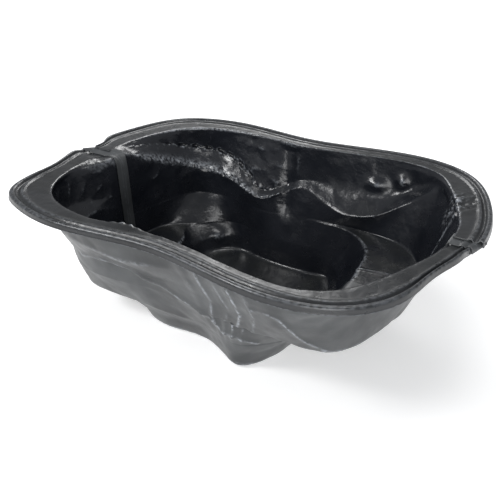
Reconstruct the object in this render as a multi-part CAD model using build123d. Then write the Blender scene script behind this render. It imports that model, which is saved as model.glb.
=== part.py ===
"""Folding garden-pond liner: one thin black polyethylene sheet, vacuum formed over a mould.

The sheet is two leaves, front and rear, joined by a moulded living hinge that runs up one end
wall, across the floor and up the other.  Both leaves have the same outline and shelf levels, and
each has plant ledges and a toe of its own.  The rim is slit where it crosses the fold: the rear leaf's
rim runs on to the fold line, and the front leaf's ends in a lowered tongue that tucks under it.
Frame: +Z up, X along the fold, origin on the ground under the middle of the pond.  All in mm.
"""
import os

from build123d import *

# --- Driving dimensions -------------------------------------------------------------------------
LENGTH = 1220.0          # over the rim, along the fold
WIDTH = 894.0            # over the rim, across the fold at the wide end
WAIST_NARROWING = 35.0   # how much each side draws in at the waist
SMALL_END_NARROWING = 9.0  # how much the narrow end's bulge stays inside the wide end's
DEPTH = 400.0            # underside of the floor to the top of the rim
SHEET = 3.0              # thickness of the formed sheet

FOLD_BAND = 44.0         # width of the flat hinge strip between the two leaves
HINGE_GROOVE = 5.0       # width of the thin line down the middle of the strip
HINGE_WEB = 1.5          # sheet left under that line

TONGUE_DROP = 11.0       # the tongue lies this far below the rim's flat
TONGUE_SIDE_ROOM = 10.0  # room between the tongue and the turned-down edge, and the wall
TONGUE_REACH = 18.0      # how far the tongue passes the fold line

RIM_FLAT_DROP = 6.0      # the rim's flat lies this far below its highest bead
RIM_SKIRT = 16.0         # the turned-down edge reaches this far below the highest bead
OUTER_BEAD = (0.0, 14.0)   # outer bead: from and to, measured in from the rim's edge
INNER_BEAD = (24.0, 36.0)  # second bead, beyond the groove
INNER_BEAD_DROP = 2.0    # the second bead is this much lower than the first

# --- Stations and rings -------------------------------------------------------------------------
# A half outline passes through eleven stations, from the small end of the fold to its wide end.
STATION_PARAMETERS = (0.0, 0.10, 0.21, 0.33, 0.415, 0.50, 0.585, 0.67, 0.79, 0.90, 1.0)
OUTWARD = (
    (-1, 0), (-0.98, 0.2), (-0.6, 0.8), (0, 1), (0, 1), (0, 1), (0, 1), (0, 1),
    (0.6, 0.8), (0.98, 0.2), (1, 0),
)

# Rings of the sheet's inner face, from the rim's inner lip down.  At each station a ring gives
# its inset along the fold and across it from the rim's outer edge, and its depth below the rim.
LIP = (
    (88, 0), (86, 32), (80, 64), (36, 76), (10, 65), (0, 60), (5, 60), (19, 60), (62, 55), (75, 40), (70, 0),
)
# Shoulder under the lip, then the back and the front edge of the plant ledges.
REAR_UPPER = (
    ((96, 0, 7.2), (90, 30, 13), (82, 62, 18), (35, 77, 20), (10, 68, 22), (0, 62, 20),
     (5, 61, 20), (19, 61, 20), (64, 57, 12), (78, 41, 14), (73, 0, 14)),
    ((105, 0, 8.6), (99, 27, 26), (86, 58, 72), (26, 87, 98), (10, 118, 180), (0, 76, 104),
     (3, 79, 124), (13, 73, 110), (67, 60, 20), (82, 42, 28), (78, 0, 28)),
    ((141, 0, 14), (145, 32, 80), (120, 86, 130), (55, 134, 156), (26, 146, 190), (0, 94, 122),
     (15, 133, 180), (49, 148, 160), (72, 64, 34), (88, 44, 50), (86, 0, 50)),
)
FRONT_UPPER = (
    ((141, 0, 14), (95, 31, 22), (82, 62, 22), (35, 77, 20), (10, 68, 22), (0, 62, 20),
     (5, 61, 20), (19, 61, 20), (64, 57, 16), (78, 41, 14), (73, 0, 14)),
    ((145, 0, 140), (115, 40, 106), (82, 66, 92), (32, 84, 104), (10, 82, 120), (0, 82, 100),
     (5, 79, 90), (21, 75, 90), (72, 64, 60), (87, 44, 50), (86, 0, 50)),
    ((147, 0, 180), (143, 42, 130), (112, 86, 172), (53, 130, 160), (24, 142, 190), (0, 104, 150),
     (15, 115, 168), (41, 105, 150), (86, 84, 120), (109, 51, 126), (117, 0, 134)),
)
# Foot of the wide end's wall and the edge of its shelf, the same on both leaves.
WIDE_SHELF = (
    ((148, 0, 218), (149, 41, 216), (121, 93, 216), (56, 139, 218), (29, 148, 225), (0, 120, 218),
     (48, 134, 218), (84, 145, 218), (114, 121, 218), (136, 64, 218), (148, 0, 218)),
    ((149, 0, 223), (150, 42, 221), (122, 94, 221), (57, 140, 223), (30, 150, 231), (0, 122, 224),
     (55, 138, 224), (128, 160, 223), (226, 170, 223), (300, 88, 223), (318, 0, 223)),
)
# Foot of the small end's wall, the edge of its shelf, and the floor's bevelled toe.
REAR_LOWER = (
    ((152, 0, 305), (147, 58, 305), (136, 168, 305), (66, 151, 305), (33, 159, 305), (0, 150, 305),
     (68, 160, 305), (155, 178, 305), (270, 187, 305), (343, 99, 305), (364, 0, 305)),
    ((290, 0, 310), (254, 77, 310), (146, 177, 310), (68, 153, 310), (34, 160, 310), (0, 151, 310),
     (69, 161, 310), (157, 179, 310), (273, 187, 310), (346, 99, 310), (367, 0, 310)),
    ((300, 0, 345), (272, 92, 345), (190, 182, 345), (90, 164, 345), (40, 164, 345), (0, 156, 345),
     (75, 168, 345), (168, 182, 345), (302, 192, 345), (378, 104, 345), (400, 0, 345)),
    ((318, 0, 397), (292, 102, 397), (214, 184, 397), (98, 170, 397), (44, 168, 397), (0, 160, 397),
     (80, 174, 397), (180, 186, 397), (322, 196, 397), (394, 114, 397), (420, 0, 397)),
)
FRONT_LOWER = (
    ((152, 0, 305), (150, 50, 305), (132, 120, 305), (59, 183, 305), (40, 172, 305), (0, 168, 305),
     (75, 169, 305), (166, 180, 305), (270, 187, 305), (343, 99, 305), (364, 0, 305)),
    ((290, 0, 310), (254, 77, 310), (200, 150, 310), (100, 190, 310), (42, 175, 310), (0, 171, 310),
     (76, 171, 310), (168, 180, 310), (273, 187, 310), (346, 99, 310), (367, 0, 310)),
    ((300, 0, 345), (272, 96, 345), (232, 196, 345), (118, 212, 345), (57, 204, 345), (0, 194, 345),
     (87, 184, 345), (186, 185, 345), (302, 192, 345), (378, 104, 345), (400, 0, 345)),
    ((318, 0, 397), (292, 106, 397), (250, 211, 397), (133, 232, 397), (64, 223, 397), (0, 210, 397),
     (83, 198, 397), (182, 197, 397), (322, 196, 397), (394, 114, 397), (420, 0, 397)),
)
REAR_RINGS = REAR_UPPER + WIDE_SHELF + REAR_LOWER
FRONT_RINGS = FRONT_UPPER + WIDE_SHELF + FRONT_LOWER
RING_BASE = 397.0        # depth of the lowest ring, which the depths above are shares of


def rim_stations():
    """Outer edge of the rim for the rear half, as (x, y) at the stations."""
    half_length, half_width = LENGTH / 2, WIDTH / 2
    seam = FOLD_BAND / 2
    return [
        (-half_length, seam),
        (-0.965 * half_length, 0.43 * half_width),
        (-0.84 * half_length, 0.815 * half_width),
        (-0.51 * half_length, half_width - SMALL_END_NARROWING),
        (-0.262 * half_length, half_width - 0.6 * WAIST_NARROWING),
        (-0.02 * half_length, half_width - WAIST_NARROWING),
        (0.234 * half_length, half_width - 0.46 * WAIST_NARROWING),
        (0.49 * half_length, half_width),
        (0.80 * half_length, 0.84 * half_width),
        (0.955 * half_length, 0.44 * half_width),
        (half_length, seam),
    ]


def height_of(depth):
    """Height above the ground of a ring point given its depth in the rings."""
    fall = DEPTH - SHEET - RIM_FLAT_DROP
    return DEPTH - RIM_FLAT_DROP - fall * (depth - RIM_FLAT_DROP) / (RING_BASE - RIM_FLAT_DROP)


def ring(insets, drop=0.0, spread=0.0):
    """Points of one ring, set in from the rim's edge, then spread outwards and lowered."""
    points = []
    for (x, y), inset, (out_x, out_y) in zip(rim_stations(), insets, OUTWARD):
        side = 1 if x > 0 else -1
        height = height_of(inset[2]) - drop
        points.append((x - side * inset[0] + spread * out_x, y - inset[1] + spread * out_y, height))
    return points


def lip(height):
    """The rim's inner lip, at a height."""
    return [(x, y, height) for x, y, _ in ring([(*inset, RIM_FLAT_DROP) for inset in LIP])]


def rim_line(inset, height):
    """Points of a line that runs parallel to the rim's outer edge."""
    edge = rim_stations()
    return [(x - inset * ox, y - inset * oy, height) for (x, y), (ox, oy) in zip(edge, OUTWARD)]


def half_wire(points):
    """Closed D-shaped wire: a smooth curve through the stations, closed along the fold."""
    corners = [Vector(*point) for point in points]
    first = (corners[1] - corners[0]).length / (STATION_PARAMETERS[1] - STATION_PARAMETERS[0])
    last = (corners[-1] - corners[-2]).length / (STATION_PARAMETERS[-1] - STATION_PARAMETERS[-2])
    curve = Edge.make_spline(
        corners,
        tangents=[Vector(0, first, 0), Vector(0, -last, 0)],
        parameters=list(STATION_PARAMETERS),
        scale=False,
    )
    return Wire([curve, Edge.make_line(corners[-1], corners[0])])


def with_lip(rings):
    """Rings of a leaf's inner face, with the rim's lip as the first."""
    return [[(*inset, RIM_FLAT_DROP) for inset in LIP], *rings]


def basin_block(rings, drop, spread):
    """Solid that fills half the basin, lowered by drop and spread outwards by spread."""
    wires = [half_wire(ring(insets, drop, spread)) for insets in with_lip(rings)]
    return Solid.make_loft(wires, ruled=True)


def basin_half(rings):
    """Walls, ledges, shelves and floor of one leaf, one sheet thick."""
    inside = basin_block(rings, 0, 0)
    outside = basin_block(rings, SHEET, SHEET)
    return outside - inside


def slab(line, bottom, top):
    """Half outline extruded between two heights."""
    return extrude(Face(half_wire(line(bottom))), amount=top - bottom, dir=(0, 0, 1))


def rim_band(start, end, bottom, top):
    """Strip of the rim between two distances in from its edge."""
    outer = slab(lambda height: rim_line(start, height), bottom, top)
    inner = slab(lambda height: rim_line(end, height), bottom, top)
    return outer - inner


def bead(place, crest):
    """Hollow raised bead: the raised strip and the hollow under it."""
    start, end = place
    under = DEPTH - RIM_FLAT_DROP - SHEET
    raised = rim_band(start, end, under, crest)
    hollow = rim_band(start + SHEET, end - SHEET, under, crest - SHEET)
    return raised, hollow


def rim_half():
    """Rim of the rear half: flat, two beads and the turned-down edge."""
    flat_top = DEPTH - RIM_FLAT_DROP
    whole = slab(lambda height: rim_line(0, height), flat_top - SHEET, flat_top)
    flat = whole - slab(lip, flat_top - SHEET, flat_top)
    outer, outer_hollow = bead(OUTER_BEAD, DEPTH)
    inner, inner_hollow = bead(INNER_BEAD, DEPTH - INNER_BEAD_DROP)
    skirt = rim_band(0, SHEET, DEPTH - RIM_SKIRT, flat_top)
    return flat + outer + inner - outer_hollow - inner_hollow + skirt


def rear_rim_ends(rim):
    """The rear leaf's rim carried on from its two seam faces to the fold line."""
    seam = FOLD_BAND / 2
    on_seam = [face for face in rim.faces() if abs(face.center().Y - seam) < 0.01]
    return [extrude(face, amount=seam, dir=(0, -1, 0)) for face in on_seam]


def block(x_range, y_range, z_range):
    """Box between pairs of limits along X, Y and Z."""
    sizes = [high - low for low, high in (x_range, y_range, z_range)]
    centre = [(low + high) / 2 for low, high in (x_range, y_range, z_range)]
    return Pos(*centre) * Box(*sizes)


def tongue(side):
    """Lowered end of the front leaf's rim: side is -1 at the small end and 1 at the wide end."""
    lip_inset = LIP[0][0] if side < 0 else LIP[-1][0]
    outer = side * (LENGTH / 2 - TONGUE_SIDE_ROOM)
    inner = side * (LENGTH / 2 - lip_inset + TONGUE_SIDE_ROOM)
    across = (min(outer, inner), max(outer, inner))
    flat_top = DEPTH - RIM_FLAT_DROP
    top = flat_top - TONGUE_DROP
    seam = -FOLD_BAND / 2
    riser = block(across, (seam - SHEET, seam), (top - SHEET, flat_top))
    plate = block(across, (seam - SHEET, TONGUE_REACH), (top - SHEET, top))
    return riser + plate


def seam_profile():
    """The inner face along the fold, from the small end's lip to the wide end's."""
    rings = [ring(insets) for insets in with_lip(REAR_RINGS)]
    small = [(points[0][0], points[0][2]) for points in rings]
    wide = [(points[-1][0], points[-1][2]) for points in rings]
    return small, wide


def strip(inner_face):
    """Hinge strip across the fold: the profile thickened outwards, with the thin line cut in."""
    half = FOLD_BAND / 2
    outer_face = [(x + SHEET * out, z - SHEET) for x, z, out in inner_face]
    profile = [(x, z) for x, z, _ in inner_face] + outer_face[::-1]
    body = extrude(Face(Wire.make_polygon([Vector(x, -half, z) for x, z in profile])), FOLD_BAND, (0, 1, 0))
    keep = SHEET - HINGE_WEB
    groove_floor = [(x + keep * out, z - keep) for x, z, out in inner_face]
    cut_profile = [(x, z) for x, z, _ in inner_face] + groove_floor[::-1]
    start = -HINGE_GROOVE / 2
    cut_face = Face(Wire.make_polygon([Vector(x, start, z) for x, z in cut_profile]))
    cut = extrude(cut_face, HINGE_GROOVE, (0, 1, 0))
    return body - cut


def fold_strips():
    """The three stretches of the living hinge: small end wall, floor and wide end wall."""
    small, wide = seam_profile()
    floor = [(*small[-1], -1), (*wide[-1], 1)]
    under_rim = DEPTH - RIM_FLAT_DROP - SHEET
    below_rim = block((-LENGTH, LENGTH), (-FOLD_BAND, FOLD_BAND), (0, under_rim))
    return {
        "fold_strip_small_end": strip([(x, z, -1) for x, z in small]) & below_rim,
        "fold_strip_floor": strip(floor),
        "fold_strip_wide_end": strip([(x, z, 1) for x, z in wide]) & below_rim,
    }


def build():
    """Every node of the pond, by name."""
    rim = rim_half()
    rear = basin_half(REAR_RINGS) + rim + rear_rim_ends(rim)
    front = mirror(basin_half(FRONT_RINGS) + rim, about=Plane.XZ) + tongue(-1) + tongue(1)
    return {"rear_half": rear, "front_half": front, **fold_strips()}


def main():
    os.makedirs("parts", exist_ok=True)
    for name, shape in build().items():
        export_step(shape, os.path.join("parts", name + ".step"))


main()
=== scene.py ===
"""The folding garden pond as it looks: one black polyethylene sheet with rock relief, plant ledges,
stepped shelves, a beaded rim and a living hinge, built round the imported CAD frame.

Each leaf is a grid of points.  Its columns run round the leaf, from the small end of the fold to
the wide end, and its rows run from the rim's turned-down edge down to the fold line in the floor.
"""
import math

import bmesh
import bpy
import numpy as np
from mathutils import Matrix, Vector, noise


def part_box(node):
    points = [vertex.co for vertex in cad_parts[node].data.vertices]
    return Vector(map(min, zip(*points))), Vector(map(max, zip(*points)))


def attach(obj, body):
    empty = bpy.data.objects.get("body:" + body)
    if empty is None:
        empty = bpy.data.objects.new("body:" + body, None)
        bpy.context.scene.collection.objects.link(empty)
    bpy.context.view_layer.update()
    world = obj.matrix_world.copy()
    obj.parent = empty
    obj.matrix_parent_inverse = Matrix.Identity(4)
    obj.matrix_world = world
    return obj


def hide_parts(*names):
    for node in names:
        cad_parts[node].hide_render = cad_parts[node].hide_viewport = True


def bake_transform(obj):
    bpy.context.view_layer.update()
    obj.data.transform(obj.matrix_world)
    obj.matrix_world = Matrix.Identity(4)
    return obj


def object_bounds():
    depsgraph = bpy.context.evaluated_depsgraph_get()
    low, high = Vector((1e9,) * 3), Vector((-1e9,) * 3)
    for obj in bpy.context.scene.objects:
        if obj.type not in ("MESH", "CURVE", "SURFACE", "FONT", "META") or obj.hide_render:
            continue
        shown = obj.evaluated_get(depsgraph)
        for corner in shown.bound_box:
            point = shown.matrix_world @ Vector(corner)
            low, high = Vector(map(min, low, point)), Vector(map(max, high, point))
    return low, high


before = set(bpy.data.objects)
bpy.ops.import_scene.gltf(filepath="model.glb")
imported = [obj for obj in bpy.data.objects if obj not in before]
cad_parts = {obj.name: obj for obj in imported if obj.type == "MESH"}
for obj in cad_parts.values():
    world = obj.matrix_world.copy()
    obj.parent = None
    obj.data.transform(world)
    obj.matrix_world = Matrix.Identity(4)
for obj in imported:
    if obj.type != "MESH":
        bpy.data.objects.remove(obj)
CAD_LOW, CAD_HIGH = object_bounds()

MM = 0.001
LENGTH = CAD_HIGH.x - CAD_LOW.x
WIDTH = CAD_HIGH.y - CAD_LOW.y
DEPTH = CAD_HIGH.z
STRIP_LOW, STRIP_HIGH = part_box("fold_strip_floor")
SEAM = STRIP_HIGH.y            # half the width of the hinge strip
SHEET = STRIP_HIGH.z           # the floor strip lies flat, so its height is the sheet

# --- Form of the sheet's inner face --------------------------------------------------------------
# Eleven stations round one leaf, from the small end of the fold to its wide end.
STATIONS = np.array([0.0, 0.10, 0.21, 0.33, 0.415, 0.50, 0.585, 0.67, 0.79, 0.90, 1.0])
EDGE_ALONG = np.array([-1, -0.965, -0.84, -0.51, -0.262, -0.02, 0.234, 0.49, 0.80, 0.955, 1]) * LENGTH / 2
EDGE_ACROSS = np.array([0, 0.43, 0.815, 1, 1, 1, 1, 1, 0.84, 0.44, 0]) * WIDTH / 2
EDGE_ACROSS -= np.array([-22, 0, 0, 9, 21, 35, 16, 0, 0, 0, -22]) * MM
OUTWARD = np.array(
    [(-1, 0), (-0.98, 0.2), (-0.6, 0.8), (0, 1), (0, 1), (0, 1),
     (0, 1), (0, 1), (0.6, 0.8), (0.98, 0.2), (1, 0)]
)

# Rim, from the foot of the turned-down edge inwards: (inset from the edge, depth below the top).
RIM = (
    (-1.2, 16.5), (-0.4, 15), (0.4, 12), (0.8, 6), (2.5, 2), (6, 0.2), (9, 0), (12, 1.2), (14.5, 4),
    (17, 7.5), (20, 9), (23, 7.5), (25.5, 4.5), (28, 2.6), (31, 2.2), (34, 3.4), (37, 5.6), (41, 6.6), (46, 6.8),
)

# Rings down the basin, at each station: (inset along the fold, inset across it, depth below the rim).
LIP = (
    (88, 0, 6), (86, 32, 6), (80, 64, 6), (36, 76, 6), (10, 65, 6), (0, 60, 6),
    (5, 60, 6), (19, 60, 6), (62, 55, 6), (75, 40, 6), (70, 0, 6),
)
REAR_UPPER = (
    ((96, 0, 7.2), (90, 30, 13), (82, 62, 18), (35, 77, 20), (10, 68, 22), (0, 62, 20),
     (5, 61, 20), (19, 61, 20), (64, 57, 12), (78, 41, 14), (73, 0, 14)),
    ((105, 0, 8.6), (99, 27, 26), (86, 58, 72), (26, 87, 98), (10, 118, 180), (0, 76, 104),
     (3, 79, 124), (13, 73, 110), (67, 60, 20), (82, 42, 28), (78, 0, 28)),
    ((141, 0, 14), (145, 32, 80), (120, 86, 130), (55, 134, 156), (26, 146, 190), (0, 94, 122),
     (15, 133, 180), (49, 148, 160), (72, 64, 34), (88, 44, 50), (86, 0, 50)),
)
FRONT_UPPER = (
    ((141, 0, 14), (95, 31, 22), (82, 62, 22), (35, 77, 20), (10, 68, 22), (0, 62, 20),
     (5, 61, 20), (19, 61, 20), (64, 57, 16), (78, 41, 14), (73, 0, 14)),
    ((145, 0, 140), (115, 40, 106), (82, 66, 92), (32, 84, 104), (10, 82, 120), (0, 82, 100),
     (5, 79, 90), (21, 75, 90), (72, 64, 60), (87, 44, 50), (86, 0, 50)),
    ((147, 0, 180), (143, 42, 130), (112, 86, 172), (53, 130, 160), (24, 142, 190), (0, 104, 150),
     (15, 115, 168), (41, 105, 150), (86, 84, 120), (109, 51, 126), (117, 0, 134)),
)
# Foot of the wide end's wall and the edge of its shelf, the same on both leaves.
WIDE_SHELF = (
    ((148, 0, 218), (149, 41, 216), (121, 93, 216), (56, 139, 218), (29, 148, 225), (0, 120, 218),
     (48, 134, 218), (84, 145, 218), (114, 121, 218), (136, 64, 218), (148, 0, 218)),
    ((149, 0, 223), (150, 42, 221), (122, 94, 221), (57, 140, 223), (30, 150, 231), (0, 122, 224),
     (55, 138, 224), (128, 160, 223), (226, 170, 223), (300, 88, 223), (318, 0, 223)),
)
# Foot of the small end's wall, the edge of its shelf, and the floor's bevelled toe.
REAR_LOWER = (
    ((152, 0, 305), (147, 58, 305), (136, 168, 305), (66, 151, 305), (33, 159, 305), (0, 150, 305),
     (68, 160, 305), (155, 178, 305), (270, 187, 305), (343, 99, 305), (364, 0, 305)),
    ((290, 0, 310), (254, 77, 310), (146, 177, 310), (68, 153, 310), (34, 160, 310), (0, 151, 310),
     (69, 161, 310), (157, 179, 310), (273, 187, 310), (346, 99, 310), (367, 0, 310)),
    ((300, 0, 345), (272, 92, 345), (190, 182, 345), (90, 164, 345), (40, 164, 345), (0, 156, 345),
     (75, 168, 345), (168, 182, 345), (302, 192, 345), (378, 104, 345), (400, 0, 345)),
    ((318, 0, 397), (292, 102, 397), (214, 184, 397), (98, 170, 397), (44, 168, 397), (0, 160, 397),
     (80, 174, 397), (180, 186, 397), (322, 196, 397), (394, 114, 397), (420, 0, 397)),
)
FRONT_LOWER = (
    ((152, 0, 305), (150, 50, 305), (132, 120, 305), (59, 183, 305), (40, 172, 305), (0, 168, 305),
     (75, 169, 305), (166, 180, 305), (270, 187, 305), (343, 99, 305), (364, 0, 305)),
    ((290, 0, 310), (254, 77, 310), (200, 150, 310), (100, 190, 310), (42, 175, 310), (0, 171, 310),
     (76, 171, 310), (168, 180, 310), (273, 187, 310), (346, 99, 310), (367, 0, 310)),
    ((300, 0, 345), (272, 96, 345), (232, 196, 345), (118, 212, 345), (57, 204, 345), (0, 194, 345),
     (87, 184, 345), (186, 185, 345), (302, 192, 345), (378, 104, 345), (400, 0, 345)),
    ((318, 0, 397), (292, 106, 397), (250, 211, 397), (133, 232, 397), (64, 223, 397), (0, 210, 397),
     (83, 198, 397), (182, 197, 397), (322, 196, 397), (394, 114, 397), (420, 0, 397)),
)
REAR_RINGS = REAR_UPPER + WIDE_SHELF + REAR_LOWER
FRONT_RINGS = FRONT_UPPER + WIDE_SHELF + FRONT_LOWER
ROW_NAMES = (
    "lip", "shoulder", "ledge_back", "ledge_front", "wide_wall_foot", "wide_shelf_edge",
    "small_wall_foot", "small_shelf_edge", "toe_top", "floor_edge",
)
RIM_WIDTH = 62           # how far in from the rim's edge a change of its outline fades out, in mm
COLUMN = 4.2 * MM        # spacing of the mesh round a leaf
ROW = 4.2 * MM           # spacing of the mesh down the basin
PERIMETER = 1.78         # length of a leaf's outer edge


def clamped_spline(knots, values, at, first, last):
    """Cubic spline through the values, with given slopes at both ends."""
    n = len(knots)
    step = np.diff(knots)
    rise = np.diff(values) / step
    system = np.zeros((n, n))
    right = np.zeros(n)
    system[0, 0] = system[-1, -1] = 1.0
    right[0], right[-1] = first, last
    for i in range(1, n - 1):
        system[i, i - 1:i + 2] = step[i], 2 * (step[i - 1] + step[i]), step[i - 1]
        right[i] = 3 * (step[i] * rise[i - 1] + step[i - 1] * rise[i])
    slope = np.linalg.solve(system, right)
    k = np.clip(np.searchsorted(knots, at, side="right") - 1, 0, n - 2)
    t = (at - knots[k]) / step[k]
    h = step[k]
    return (
        (2 * t**3 - 3 * t**2 + 1) * values[k] + (t**3 - 2 * t**2 + t) * h * slope[k]
        + (3 * t**2 - 2 * t**3) * values[k + 1] + (t**3 - t**2) * h * slope[k + 1]
    )


def curve_through(x, y, at):
    """Smooth half outline through the stations, square to the fold at both ends."""
    start = math.hypot(x[1] - x[0], y[1] - y[0]) / (STATIONS[1] - STATIONS[0])
    end = math.hypot(x[-1] - x[-2], y[-1] - y[-2]) / (STATIONS[-1] - STATIONS[-2])
    along = clamped_spline(STATIONS, x, at, 0.0, 0.0)
    across = clamped_spline(STATIONS, y, at, start, -end)
    return np.stack([along, across], -1)


def ring_curve(ring, at):
    """One ring of the basin, as points."""
    inset = np.array(ring, float) * MM
    x = EDGE_ALONG - np.sign(EDGE_ALONG) * inset[:, 0]
    y = EDGE_ACROSS - inset[:, 1]
    depth = np.interp(at, STATIONS, inset[:, 2])
    for _ in range(120):
        depth[1:-1] += 0.5 * ((depth[:-2] + depth[2:]) / 2 - depth[1:-1])
    return np.c_[curve_through(x, y, at), DEPTH - depth]


def rim_curve(inset, depth, at):
    """Line that runs parallel to the rim's outer edge."""
    x = EDGE_ALONG - inset * MM * OUTWARD[:, 0]
    y = EDGE_ACROSS - inset * MM * OUTWARD[:, 1]
    return np.c_[curve_through(x, y, at), np.full(len(at), DEPTH - depth * MM)]


def control_rows(at, rings):
    """Every guiding line from the rim's foot to the floor's edge, as (columns, lines, xyz)."""
    lines = [rim_curve(inset, depth, at) for inset, depth in RIM]
    lines += [ring_curve(ring, at) for ring in (LIP, *rings)]
    return np.stack(lines, 1)


def smooth_step(x, start, end):
    """0 before start, 1 after end, smooth between them."""
    t = np.clip((x - start) / (end - start), 0, 1)
    return t * t * (3 - 2 * t)


def bump(x, centre, width):
    """Bell curve of height 1."""
    return np.exp(-(((x - centre) / width) ** 2))


def block_bump(x, centre, width):
    """Flat-topped curve of height 1 with steep sides."""
    return np.exp(-(((x - centre) / width) ** 4))


def near_line(s, depth, points, width):
    """Bell curve about a line drawn on the wall through (place round the leaf, depth in mm)."""
    here = np.stack(np.broadcast_arrays(s * PERIMETER, depth), -1)
    line = [np.array([place * PERIMETER, level * MM]) for place, level in points]
    nearest = np.full(here.shape[:-1], np.inf)
    for start, end in zip(line, line[1:]):
        run = end - start
        share = np.clip((here - start) @ run / (run @ run), 0, 1)
        nearest = np.minimum(nearest, np.linalg.norm(here - start - share[..., None] * run, axis=-1))
    return bump(nearest, 0, width)


def field(points, size, seed):
    """Smooth noise, about -1 to 1, with lumps of the given size."""
    flat = points.reshape(-1, 3) / size + seed
    values = [noise.noise(Vector(p)) for p in flat]
    return np.array(values).reshape(points.shape[:-1])


# --- What sets the two leaves apart --------------------------------------------------------------
def shape_rear(guides, at):
    """Rear leaf: its rim's corner is rounded where it is cut at the fold's small end."""
    draw_in = 38 * MM * bump(guides[:, 0, 1], SEAM, 48 * MM) * (at < 0.5)
    for k in range(len(RIM)):
        guides[:, k, 0] += draw_in * max(0.0, 1 - RIM[k][0] / RIM_WIDTH)


def shape_front(guides, at):
    """Front leaf: where its rim and walls stand in or out, and the swell of its lip by the waist."""
    y = guides[:, 0, 1]
    small = 25 * MM * bump(y, 175 * MM, 95 * MM) * (at < 0.5)
    wide = -31 * MM * (bump(y, 170 * MM, 120 * MM) + 0.45 * bump(y, SEAM, 60 * MM)) * (at > 0.5)
    corner = 12 * MM * bump(at, 0.20, 0.045)
    for k in range(len(RIM)):
        share = max(0.0, 1 - RIM[k][0] / RIM_WIDTH)
        guides[:, k, 0] += (small + wide - 0.5 * corner) * share
        guides[:, k, 1] += corner * share
    swell = bump(at, 0.425, 0.032)
    for k, share in ((len(RIM), 1.0), (len(RIM) + 1, 0.8)):
        guides[:, k, 1] -= 14 * MM * swell * share
        guides[:, k, 2] += 5 * MM * swell * share
    wall = len(RIM) + 1
    small_wall = 14 * MM * bump(at, 0.165, 0.06)
    wide_wall = 14 * MM * bump(at, 0.80, 0.07)
    for k, share in ((wall, 0.7), (wall + 1, 1), (wall + 2, 1), (wall + 3, 1), (wall + 4, 1), (wall + 5, 1)):
        guides[:, k, 0] -= 0.7 * small_wall * share
        guides[:, k, 1] += small_wall * share
    for k in (wall + 3, wall + 4):
        guides[:, k, 0] += 0.6 * wide_wall
        guides[:, k, 1] += wide_wall
        guides[:, k, 2] -= 0.6 * wide_wall


# Cut stones at the back of the rear leaf's first ledge: (place round the leaf, half width, how far
# the face is set back, and half height in mm).
STONES = (
    (0.150, 14, 6, 8), (0.184, 15, 9, 10), (0.219, 15, 10, 11), (0.254, 14, 9, 11),
    (0.287, 13, 10, 12), (0.319, 13, 9, 12), (0.350, 12, 10, 13), (0.380, 11, 8, 12),
)
# Upright flutes in the outer face beside the waist: (place round the leaf, height in mm).
FLUTES = ((0.516, 4), (0.545, 6), (0.576, 5), (0.602, 8), (0.631, 5))
# Creases in the outer face, as (place round the leaf, depth in mm).
LONG_CREASE = (
    (0.27, 165), (0.33, 150), (0.37, 165), (0.40, 195), (0.44, 194), (0.50, 208), (0.535, 222),
    (0.575, 235), (0.595, 276), (0.65, 274), (0.715, 295),
)
SHORT_CREASE = ((0.638, 111), (0.67, 101), (0.685, 110), (0.735, 181), (0.775, 214))


def rear_relief(grid, marks, s, wall):
    """Rear leaf: stones and chips on the first ledge, the valley beside it, and the lumps of the wall."""
    rows = np.arange(grid.shape[1])[None, :]
    depth = DEPTH - grid[..., 2]
    push = np.zeros(grid.shape[:2])
    for place, half_width, set_back, half_height in STONES:
        lies = block_bump(s * PERIMETER, place * PERIMETER, half_width * MM)
        middle = marks["ledge_back"] - half_height * MM / ROW
        push -= set_back * lies * block_bump(rows, middle, half_height * MM / ROW)
    chips = field(grid, 16 * MM, 4.0) + 0.7 * field(grid, 8 * MM, 9.0)
    on_ledge = smooth_step(s, 0.02, 0.06) * (1 - smooth_step(s, 0.44, 0.50))
    push += 6 * chips * bump(rows, marks["ledge_front"], 3.5) * on_ledge
    push += 3 * chips * bump(rows, marks["ledge_back"], 3.0) * on_ledge
    valley = bump(s, 0.462 + 0.02 * (depth / DEPTH), 0.016)
    push -= 11 * wall * valley * (1 - smooth_step(depth, 0.19, 0.26))
    push += 13 * wall * bump(s, 0.632, 0.020) * bump(depth, 0.088, 0.020)
    push += 11 * wall * bump(s, 0.678, 0.014) * bump(depth, 0.066, 0.018)
    push += 5 * wall * bump(s, 0.27, 0.02) * bump(depth, 0.345, 0.02)
    crushed = bump(s, 0.88, 0.03) * (1 - smooth_step(depth, 0.05, 0.11)) * smooth_step(rows, 12, 17)
    push += 5 * crushed * (chips + field(grid, 34 * MM, 2.0))
    push += 7 * wall * bump(s, 0.915, 0.007) * (1 - smooth_step(depth, 0.20, 0.24))
    return push


def front_relief(grid, marks, s, wall):
    """Front leaf: flutes and creases that show outside, and wrinkles in the lip by the waist."""
    rows = np.arange(grid.shape[1])[None, :]
    depth = DEPTH - grid[..., 2]
    push = np.zeros(grid.shape[:2])
    below_rim = smooth_step(depth, 0.03, 0.07) * (1 - smooth_step(depth, 0.24, 0.33))
    for place, height in FLUTES:
        push -= height * bump(s - 0.2 * (depth - 0.1), place, 0.0075) * below_rim
    push -= 6 * wall * near_line(s, depth, LONG_CREASE, 7 * MM)
    push -= 5 * wall * near_line(s, depth, SHORT_CREASE, 6 * MM)
    wrinkles = np.sin(s * 2 * math.pi / 0.016 + 40 * depth) * bump(s, 0.425, 0.03)
    push += 1.8 * wrinkles * bump(rows, marks["lip"], 5)
    return push


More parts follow.
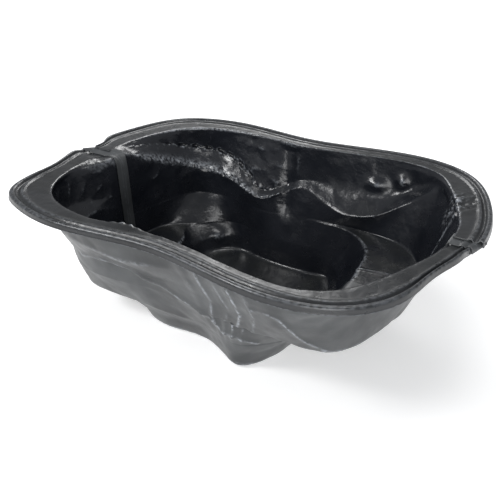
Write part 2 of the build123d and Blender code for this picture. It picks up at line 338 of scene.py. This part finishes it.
def relief(grid, marks, at, leaf):
    """How far each point of the skin is pushed into the pond; leaf is 0 for the rear, 1 for the front."""
    rows = np.arange(grid.shape[1])[None, :]
    off_seam = smooth_step(grid[..., 1], SEAM + 2 * MM, SEAM + 45 * MM)
    below_lip = smooth_step(rows, marks["lip"] + 1, marks["lip"] + 8)
    on_rim = (1 - smooth_step(rows, marks["lip"] - 1, marks["lip"] + 4)) * smooth_step(rows, 11, 16)
    on_floor = smooth_step(rows, marks["floor_edge"] - 3, marks["floor_edge"] + 3)
    large = field(grid, 95 * MM, 1.0)
    middle = field(grid, 40 * MM, 5.0 + leaf)
    small = field(grid, 17 * MM, 8.0 + leaf)
    ridged = 1 - 2 * np.abs(field(grid, 60 * MM, 12.0))
    wall = below_lip * (1 - on_floor)
    rough = wall
    if leaf == 0:
        rough = wall * (1 - 0.75 * smooth_step(DEPTH - grid[..., 2], 0.17, 0.23))
        rough = rough * (1 - 0.65 * smooth_step(at, 0.38, 0.46)[:, None])
    push = rough * (3.0 * large + 2.6 * middle * ridged + 0.6 * small + 1.8 * ridged)
    push += on_floor * (1.2 * large + 0.4 * middle) + on_rim * (0.9 * middle + 0.5 * small)
    own = front_relief if leaf else rear_relief
    push += own(grid, marks, at[:, None], wall)
    return push * off_seam * MM


# --- Meshes --------------------------------------------------------------------------------------
def leaf_grid(at, rings, shaping, leaf):
    """Inner face of a leaf as a grid of points, and the row where each named ring lies."""
    guides = control_rows(at, rings)
    shaping(guides, at)
    rows = [guides[:, 0]]
    marks = {}
    for k in range(guides.shape[1] - 1):
        a, b = guides[:, k], guides[:, k + 1]
        longest = np.linalg.norm(b - a, axis=-1).max()
        count = 1 if k < len(RIM) - 1 else max(2, int(round(longest / ROW)))
        rows += [a + (b - a) * i / count for i in range(1, count + 1)]
        if k + 1 >= len(RIM):
            marks[ROW_NAMES[k + 1 - len(RIM)]] = len(rows) - 1
    edge = guides[:, -1]
    line = edge.copy()
    line[:, 0] = np.linspace(edge[0, 0], edge[-1, 0], len(edge))
    line[:, 1] = SEAM
    count = int(round(np.linalg.norm(edge - line, axis=-1).max() / (2 * ROW)))
    rows += [edge + (line - edge) * i / count for i in range(1, count + 1)]
    grid = np.stack(rows, 1)
    soften(grid, marks["lip"] - 1, grid.shape[1] - 1, 4)
    rounded = grid.copy()
    if leaf:
        soften(rounded, marks["lip"] - 4, marks["shoulder"] + 8, 24)
        share = np.ones(len(at))
    else:
        soften(rounded, marks["lip"] - 1, marks["ledge_front"] - 2, 160)
        soften(rounded, marks["ledge_front"] - 8, marks["ledge_front"] + 8, 10)
        share = smooth_step(at, 0.50, 0.56) * (1 - smooth_step(at, 0.76, 0.82))
    grid += (rounded - grid) * share[:, None, None]
    soften(grid, marks["small_shelf_edge"] + 2, grid.shape[1] - 1, 4)
    grid[:, :, 1] = np.where(np.arange(len(at))[:, None] % (len(at) - 1) == 0, SEAM, grid[:, :, 1])
    return grid, marks


def soften(grid, first, last, times):
    """Rounds the profile between two rows by moving each point towards its neighbours."""
    for _ in range(times):
        grid[:, first:last] += 0.5 * (
            (grid[:, first - 1:last - 1] + grid[:, first + 1:last + 1]) / 2 - grid[:, first:last]
        )


def grid_normals(grid):
    """Unit normals of a grid, pointing up and into the pond."""
    down = np.gradient(grid, axis=1)
    round_ = np.gradient(grid, axis=0)
    normal = np.cross(down, round_)
    size = np.linalg.norm(normal, axis=-1, keepdims=True)
    return normal / np.maximum(size, 1e-12)


def sheet_object(name, upper_skin, lower_skin, cells, mirrored, painted_highlight, rim_rows=0):
    """Closed sheet between two grids.  Cells says which quads exist, and the per-point values how strongly each
    point gets a painted highlight.

    The upper skin's material is slot 0, the lower skin's slot 1, and the first rows' slot 2.
    """
    m, n = upper_skin.shape[:2]
    flip = np.array([1, -1, 1]) if mirrored else np.array([1, 1, 1])
    points = np.concatenate([upper_skin.reshape(-1, 3), lower_skin.reshape(-1, 3)]) * flip
    index = np.arange(m * n).reshape(m, n)
    under = m * n
    i, j = np.nonzero(cells)
    quads = np.stack([index[i, j], index[i, j + 1], index[i + 1, j + 1], index[i + 1, j]], 1)
    faces = [quads, quads[:, ::-1] + under]
    padded = np.pad(cells, 1)
    for di, dj, a, b in ((-1, 0, 0, 1), (0, 1, 1, 2), (1, 0, 2, 3), (0, -1, 3, 0)):
        open_side = ~padded[1 + i + di, 1 + j + dj]
        p, q = quads[open_side, a], quads[open_side, b]
        faces.append(np.stack([q, p, p + under, q + under], 1))
    faces = np.concatenate(faces)
    if mirrored:
        faces = faces[:, ::-1]
    used, compact = np.unique(faces, return_inverse=True)
    mesh = bpy.data.meshes.new(name)
    mesh.from_pydata(points[used].tolist(), [], compact.reshape(faces.shape).tolist())
    slots = np.ones(len(faces), int)
    slots[:len(quads)] = np.where(j < rim_rows, 2, 0)
    for material in (INNER_SKIN, OUTER_SKIN, RIM_SKIN):
        mesh.materials.append(material)
    mesh.polygons.foreach_set("material_index", slots)
    # Per-point share of painted highlight, read by the materials.
    highlight_attribute = mesh.attributes.new("painted_highlight", "FLOAT", "POINT")
    highlight_attribute.data.foreach_set("value", painted_highlight.ravel()[used])
    mesh.shade_smooth()
    mesh.update()
    piece = bpy.data.objects.new(name, mesh)
    bpy.context.collection.objects.link(piece)
    return piece


# --- Materials -----------------------------------------------------------------------------------
def polyethylene(name, dark, light, roughness, grain, top_reflection_amount, painted_highlight):
    """Black moulded polyethylene: cloudy colour, uneven gloss, fine grain, a painted reflection on faces that
    look up, and painted highlights on edges.
    """
    material = bpy.data.materials.new(name)
    material.use_nodes = True
    tree = material.node_tree
    shader = tree.nodes["Principled BSDF"]
    link = tree.links.new
    place = tree.nodes.new("ShaderNodeTexCoord")

    def speckle(scale, detail, low, high):
        """Noise stretched so that low becomes 0 and high becomes 1."""
        texture = tree.nodes.new("ShaderNodeTexNoise")
        texture.inputs["Scale"].default_value = scale
        texture.inputs["Detail"].default_value = detail
        link(place.outputs["Object"], texture.inputs["Vector"])
        stretch = tree.nodes.new("ShaderNodeMapRange")
        stretch.inputs["From Min"].default_value = low
        stretch.inputs["From Max"].default_value = high
        link(texture.outputs["Fac"], stretch.inputs["Value"])
        return stretch.outputs["Result"]

    def product(a, b):
        """One value times another, kept between 0 and 1."""
        node = tree.nodes.new("ShaderNodeMath")
        node.operation = "MULTIPLY"
        node.use_clamp = True
        for socket, value in zip(node.inputs, (a, b)):
            if isinstance(value, float):
                socket.default_value = value
            else:
                link(value, socket)
        return node.outputs[0]

    def mixed(factor, a, b):
        """Colour a where the factor is 0, and colour b where it is 1."""
        node = tree.nodes.new("ShaderNodeMix")
        node.data_type = "RGBA"
        link(factor, node.inputs["Factor"])
        for socket, value in ((node.inputs[6], a), (node.inputs[7], b)):
            if isinstance(value, tuple):
                socket.default_value = (*value, 1)
            else:
                link(value, socket)
        return node.outputs[2]

    cloudy = speckle(7.0, 6.0, 0.35, 0.68)
    colour = mixed(cloudy, dark, light)
    facing = tree.nodes.new("ShaderNodeSeparateXYZ")
    link(place.outputs["Normal"], facing.inputs[0])
    upward = tree.nodes.new("ShaderNodeMapRange")
    upward.inputs["From Min"].default_value = 0.72
    upward.inputs["From Max"].default_value = 1.0
    link(facing.outputs["Z"], upward.inputs["Value"])
    # Faces that look up are mixed towards a lighter greenish grey: a painted reflection.
    top_reflection = product(product(upward.outputs["Result"], speckle(16.0, 8.0, 0.3, 0.75)), top_reflection_amount)
    colour = mixed(top_reflection, colour, (0.034, 0.035, 0.030))
    highlight_attribute = tree.nodes.new("ShaderNodeAttribute")
    highlight_attribute.attribute_name = "painted_highlight"
    # Points marked in the attribute turn light grey in speckles: a painted highlight.
    highlight_share = product(product(highlight_attribute.outputs["Fac"], speckle(110.0, 4.0, 0.38, 0.60)), painted_highlight)
    colour = mixed(highlight_share, colour, (0.30, 0.32, 0.35))
    link(colour, shader.inputs["Base Color"])

    gloss = tree.nodes.new("ShaderNodeMapRange")
    gloss.inputs["To Min"].default_value = roughness[0]
    gloss.inputs["To Max"].default_value = roughness[1]
    link(speckle(24.0, 8.0, 0.3, 0.7), gloss.inputs["Value"])
    link(gloss.outputs["Result"], shader.inputs["Roughness"])
    shader.inputs["Specular IOR Level"].default_value = 0.5

    normal = None
    for scale, depth, strength in ((420.0, 0.25, 0.35), (90.0, 0.9, grain), (24.0, 2.2, grain * 0.7)):
        bump_node = tree.nodes.new("ShaderNodeBump")
        bump_node.inputs["Strength"].default_value = strength
        bump_node.inputs["Distance"].default_value = depth * MM
        link(speckle(scale, 4.0, 0.2, 0.8), bump_node.inputs["Height"])
        if normal:
            link(normal, bump_node.inputs["Normal"])
        normal = bump_node.outputs["Normal"]
    link(normal, shader.inputs["Normal"])
    return material


# Each skin's darkest and lightest colour, roughness range, grain, painted reflection on faces that look up, and
# painted highlight on edges.
INNER_SKIN = polyethylene(
    "glossy inner skin", (0.0060, 0.0070, 0.0098), (0.0120, 0.0134, 0.0172), (0.14, 0.32), 0.50, 0.45, 0.7
)
# Outer and inner skins are one black sheet: the outer skin's colour is painted lighter as painted light, and the
# inner skin's darker as painted shade.
OUTER_SKIN = polyethylene(
    "satin outer skin", (0.024, 0.026, 0.028), (0.062, 0.066, 0.069), (0.30, 0.46), 0.22, 0.0, 0.8
)
RIM_SKIN = polyethylene(
    "satin rim", (0.007, 0.0078, 0.009), (0.018, 0.0195, 0.022), (0.24, 0.40), 0.35, 0.2, 0.7
)
# Hinge skin; its panels carry a painted highlight through the per-point attribute.
HINGE_SKIN = polyethylene(
    "hinge skin with painted highlights", (0.006, 0.007, 0.009), (0.014, 0.016, 0.020), (0.20, 0.38), 0.35, 0.3, 0.6
)


# --- Build ---------------------------------------------------------------------------------------
TONGUE_DROP = 11 * MM     # the front leaf's rim ends lie this far under the rear leaf's
TONGUE_REACH = 16 * MM    # how far they pass the fold line
TONGUE_MARGINS = {0: 48 * MM, -1: 10 * MM}   # room outside the tongues, at the small and wide end
RIM_FOOT = 4              # rows of the rim's turned-down edge
STRIP_START = 9.2 * MM    # the hinge strips start this far below the rim's top


def blurred(values, times):
    """The values averaged with their neighbours along both directions."""
    for _ in range(times):
        for axis in (0, 1):
            margins = [(1, 1) if a == axis else (0, 0) for a in range(values.ndim)]
            padded = np.pad(values, margins, mode="edge")
            low = np.take(padded, range(0, values.shape[axis]), axis)
            high = np.take(padded, range(2, values.shape[axis] + 2), axis)
            values = (low + 2 * values + high) / 4
    return values


def joggle(grid, marks):
    """Lowers the front leaf's rim where it comes to the fold."""
    rows = np.arange(grid.shape[1])[None, :]
    on_rim = 1 - smooth_step(rows, marks["lip"] - 1, marks["shoulder"])
    grid[..., 2] -= TONGUE_DROP * on_rim * (1 - smooth_step(grid[..., 1], SEAM, SEAM + 55 * MM))


def add_ends(skins, cells, marks, mirrored):
    """Columns past both seams, where only the rim carries on towards or past the fold line."""
    upper_skin = skins[0]
    reach = np.array([0.25, 0.5, 0.75, 1.0]) * SEAM
    if mirrored:
        reach = np.concatenate([reach, SEAM + np.array([0.5, 1.0]) * TONGUE_REACH])
    for end in (0, -1):
        column = upper_skin[end]
        place = np.arange(len(column))
        drop = TONGUE_DROP if mirrored else 0
        kept = (DEPTH - column[:, 2] < STRIP_START + drop) | (place < marks["lip"])
        kept &= place <= marks["shoulder"] + 1
        if mirrored:
            kept &= np.abs(column[:, 0]) < np.abs(column[0, 0]) - TONGUE_MARGINS[end]
            kept &= place < marks["lip"] - 1
        added = []
        for skin in skins:
            more = np.repeat(skin[end][None], len(reach), 0)
            more[:, :, 1] -= reach[:, None]
            added.append(more if end else more[::-1])
        exists = np.repeat((kept[:-1] & kept[1:])[None], len(reach), 0)
        if end:
            skins = [np.concatenate([skin, more]) for skin, more in zip(skins, added)]
            cells = np.concatenate([cells, exists])
        else:
            skins = [np.concatenate([more, skin]) for skin, more in zip(skins, added)]
            cells = np.concatenate([exists, cells])
    return skins, cells


def tidy_mesh(piece):
    """Merges the points that coincide where the floor's rows meet at the seam."""
    mesh = bmesh.new()
    mesh.from_mesh(piece.data)
    bmesh.ops.remove_doubles(mesh, verts=mesh.verts, dist=0.02 * MM)
    bmesh.ops.dissolve_degenerate(mesh, edges=mesh.edges, dist=0.01 * MM)
    mesh.to_mesh(piece.data)
    mesh.free()


def edge_highlights(skins):
    """How strongly each point gets a painted highlight: edges that stand out get one, and so does the rim's
    foot.
    """
    painted_highlight = []
    for skin, sign in zip(skins, (1, -1)):
        rise = ((skin - blurred(skin, 6)) * grid_normals(skin)).sum(-1) * sign
        painted_highlight.append(np.clip((rise - 0.3 * MM) / (1.2 * MM), 0, 1))
        # The rim's foot edge gets a painted highlight line.
        painted_highlight[-1][:, 0] = 0.6
        painted_highlight[-1][:, 1:RIM_FOOT] = 0
        painted_highlight[-1][:, RIM_FOOT:len(RIM) + 6] *= 0.25
    return np.stack(painted_highlight)


def ledge_highlight_band(shape, marks):
    """Painted highlight on the top of the rear leaf's first ledge, in a band along its front edge."""
    place = np.linspace(0, 1, shape[0])[:, None]
    rows = np.arange(shape[1])[None, :]
    band = bump(rows, marks["ledge_front"] - 3, 4.5)
    return 0.62 * band * smooth_step(place, 0.01, 0.05) * (1 - smooth_step(place, 0.41, 0.45))


def build_leaf(name, body, node, rings, shaping, mirrored):
    """One leaf.  Returns its seam columns for the hinge strips."""
    at = np.linspace(0, 1, int(PERIMETER / COLUMN))
    grid, marks = leaf_grid(at, rings, shaping, int(mirrored))
    if mirrored:
        joggle(grid, marks)
    normals = grid_normals(grid)
    normals[:, marks["floor_edge"] + 2:] = (0, 0, 1)
    normals[[0, -1], :, 1] = 0
    normals /= np.maximum(np.linalg.norm(normals, axis=-1, keepdims=True), 1e-9)
    push = relief(grid, marks, at, int(mirrored))
    under = np.minimum(0.85 * blurred(push, 5) - SHEET, push - 0.6 * SHEET)
    skins = [grid + normals * push[..., None], grid + normals * under[..., None]]
    skins[1][..., 2] = np.maximum(skins[1][..., 2], 0)
    cells = np.ones((len(at) - 1, grid.shape[1] - 1), bool)
    seams = [skins[0][0], skins[0][-1]]
    skins, cells = add_ends(skins, cells, marks, mirrored)
    painted_highlight = edge_highlights(skins)
    if not mirrored:
        # Painted highlight in a band along the front edge of the rear leaf's first ledge.
        painted_highlight[0] = np.maximum(painted_highlight[0], ledge_highlight_band(painted_highlight[0].shape, marks))
    piece = sheet_object(name, *skins, cells, mirrored, painted_highlight, marks["lip"] - 1)
    tidy_mesh(piece)
    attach(piece, body)
    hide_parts(node)
    return seams


def along(points, count):
    """The same polyline with evenly spaced points."""
    steps = np.linalg.norm(np.diff(points, axis=0), axis=-1)
    distance = np.concatenate([[0], np.cumsum(steps)])
    wanted = np.linspace(0, distance[-1], count)
    return np.stack([np.interp(wanted, distance, points[:, k]) for k in range(3)], -1)


def build_strip(name, rear_edge, front_edge, count):
    """Hinge strip between two seam columns: two flat panels with a thin groove between them.

    Across it a place is a share of the strip's half width, and the heights run from edge to middle.
    """
    half = np.array([1, 0.94, 0.86, 0.55, 0.30, 0.25, 0.21, 0.15, 0])
    across = np.concatenate([half, -half[-2::-1]])
    height = np.array([0, 0.2, 1.3, 1.4, 1.4, 1.4, 1.2, -2.0, -2.3]) * MM
    height = np.concatenate([height, height[-2::-1]])
    rear, front = along(rear_edge, count), along(front_edge, count)
    share = (1 - across)[:, None, None] / 2
    grid = rear[None] * (1 - share) + front[None] * share
    grid[..., 1] = across[:, None] * SEAM
    if grid[0, 0, 0] > 0:
        grid = grid[::-1]
    normals = grid_normals(grid)
    bumps = 0.35 * MM * field(grid, 14 * MM, 20.0) * (1 - np.abs(across))[:, None]
    upper_skin = grid + normals * (height[:, None] + bumps)[..., None]
    lower_skin = grid - normals * SHEET
    lower_skin[..., 2] = np.maximum(lower_skin[..., 2], 0)
    cells = np.ones((len(across) - 1, count - 1), bool)
    # Painted highlight in a line along each flat panel of the strip.
    panel_highlight = 0.35 * bump(np.abs(across), 0.23, 0.03)[None, :, None] * np.ones((2, 1, count))
    piece = sheet_object(name, upper_skin, lower_skin, cells, False, panel_highlight)
    piece.data.materials[0] = HINGE_SKIN
    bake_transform(piece)
    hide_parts(name.replace("hinge", "fold_strip"))


def build():
    """The two leaves and the three hinge strips between them."""
    rear = build_leaf("rear_leaf", "rear", "rear_half", REAR_RINGS, shape_rear, False)
    front = build_leaf("front_leaf", "front", "front_half", FRONT_RINGS, shape_front, True)
    mirror = np.array([1, -1, 1])
    edges = []
    for columns, flip in ((rear, 1), (front, mirror)):
        edges.append([column[DEPTH - column[:, 2] > STRIP_START] * flip for column in columns])
    build_strip("hinge_small_end", edges[0][0], edges[1][0], 110)
    build_strip("hinge_wide_end", edges[0][1], edges[1][1], 120)
    floors = [np.array([sides[0][-1], sides[1][-1]]) for sides in edges]
    build_strip("hinge_floor", *floors, 110)


def add_camera():
    """Camera at the viewing angle: above the wide end's front corner, looking down the pond."""
    data = bpy.data.cameras.new("camera")
    data.lens = 44.6
    data.sensor_width = 36.0
    camera = bpy.data.objects.new("camera", data)
    camera.location = (0.8045, -1.3036, DEPTH + 0.6621)
    camera.rotation_euler = (math.radians(90 - 29.458), 0, math.radians(31.857))
    bpy.context.collection.objects.link(camera)
    bpy.context.scene.camera = camera


def add_floor_and_light():
    """White floor that glows more further out, pale surroundings, and soft boxes above them."""
    bpy.ops.mesh.primitive_plane_add(size=30)
    ground = bpy.context.object
    ground.name = "ground"
    material = bpy.data.materials.new("pale floor")
    material.use_nodes = True
    tree = material.node_tree
    paint = tree.nodes["Principled BSDF"]
    paint.inputs["Base Color"].default_value = (0.9, 0.9, 0.9, 1)
    paint.inputs["Roughness"].default_value = 0.9
    paint.inputs["Emission Color"].default_value = (1, 1, 1, 1)
    place = tree.nodes.new("ShaderNodeTexCoord")
    away = tree.nodes.new("ShaderNodeVectorMath")
    away.operation = "LENGTH"
    tree.links.new(place.outputs["Object"], away.inputs[0])
    glow = tree.nodes.new("ShaderNodeMapRange")
    for socket, value in (("From Min", 0.7), ("From Max", 3.0), ("To Min", 0.34), ("To Max", 0.85)):
        glow.inputs[socket].default_value = value
    tree.links.new(away.outputs["Value"], glow.inputs["Value"])
    tree.links.new(glow.outputs["Result"], paint.inputs["Emission Strength"])
    ground.data.materials.append(material)
    scene = bpy.context.scene
    scene.view_settings.view_transform = "Standard"
    scene.world = bpy.data.worlds.new("studio")
    scene.world.use_nodes = True
    sky = scene.world.node_tree.nodes["Background"]
    sky.inputs["Color"].default_value = (0.95, 0.97, 1.0, 1)
    sky.inputs["Strength"].default_value = 0.36
    for name, place, size, power in (
        ("key_softbox", (-1.5, -1.9, 2.3), 0.8, 46),
        ("back_softbox", (-1.3, 2.1, 2.1), 1.0, 24),
        ("top_softbox", (0.3, 0.2, 2.9), 1.2, 22),
        ("front_softbox", (1.6, -3.0, 1.5), 2.2, 75),
    ):
        light = bpy.data.lights.new(name, "AREA")
        light.size = size
        light.energy = power
        lamp = bpy.data.objects.new(name, light)
        lamp.location = place
        lamp.rotation_euler = (Vector((0, 0, 0.2)) - Vector(place)).to_track_quat("-Z", "Y").to_euler()
        bpy.context.collection.objects.link(lamp)


build()
add_camera()
add_floor_and_light()
